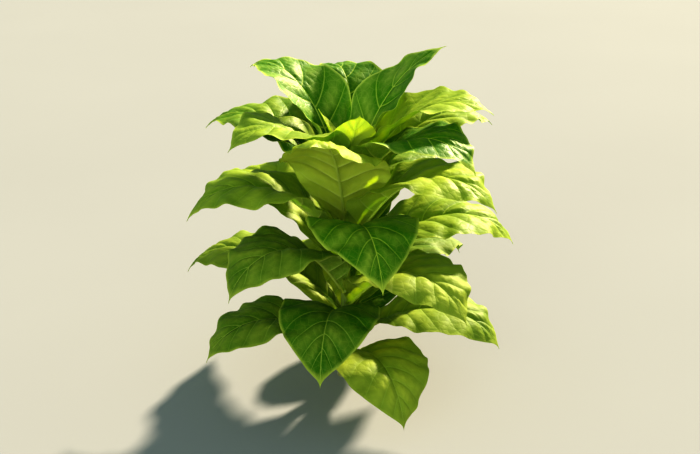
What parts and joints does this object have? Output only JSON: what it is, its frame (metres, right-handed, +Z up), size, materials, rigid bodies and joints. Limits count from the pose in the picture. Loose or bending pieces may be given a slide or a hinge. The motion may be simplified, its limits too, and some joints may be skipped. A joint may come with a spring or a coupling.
{
  "type": "tobacco plant",
  "caption": "Leafy field tobacco plant before flowering: an upright green stem with large stalkless leaves set in a spiral and a bud of furled young leaves at the tip.",
  "frame": {"origin": "middle of the flat cut through the stem's foot, at ground level", "axes": "+Z up along the stem, +Y away from the viewer of the picture, +X to the viewer's right"},
  "size_m": [0.9835, 0.9684, 1.0048],
  "materials": {
    "stem": "matt",
    "leaf": "satin",
    "young_leaf": "satin"
  },
  "bodies": {
    "root": {"stem": "stem", "bud": "young_leaf", "leaf_01": "leaf", "leaf_02": "leaf", "leaf_03": "leaf", "leaf_04": "leaf", "leaf_05": "leaf", "leaf_06": "leaf", "leaf_07": "leaf", "leaf_08": "leaf", "leaf_09": "leaf", "leaf_10": "leaf", "leaf_11": "leaf", "leaf_12": "leaf", "leaf_13": "leaf", "leaf_14": "leaf", "leaf_15": "leaf", "leaf_16": "leaf", "leaf_17": "leaf", "leaf_18": "leaf", "leaf_19": "leaf", "leaf_20": "leaf", "leaf_21": "leaf", "leaf_22": "leaf", "leaf_23": "leaf", "leaf_24": "leaf", "leaf_25": "leaf", "leaf_26": "young_leaf", "leaf_27": "young_leaf", "leaf_28": "young_leaf", "leaf_29": "young_leaf", "leaf_30": "young_leaf"}
  },
  "joints": []
}
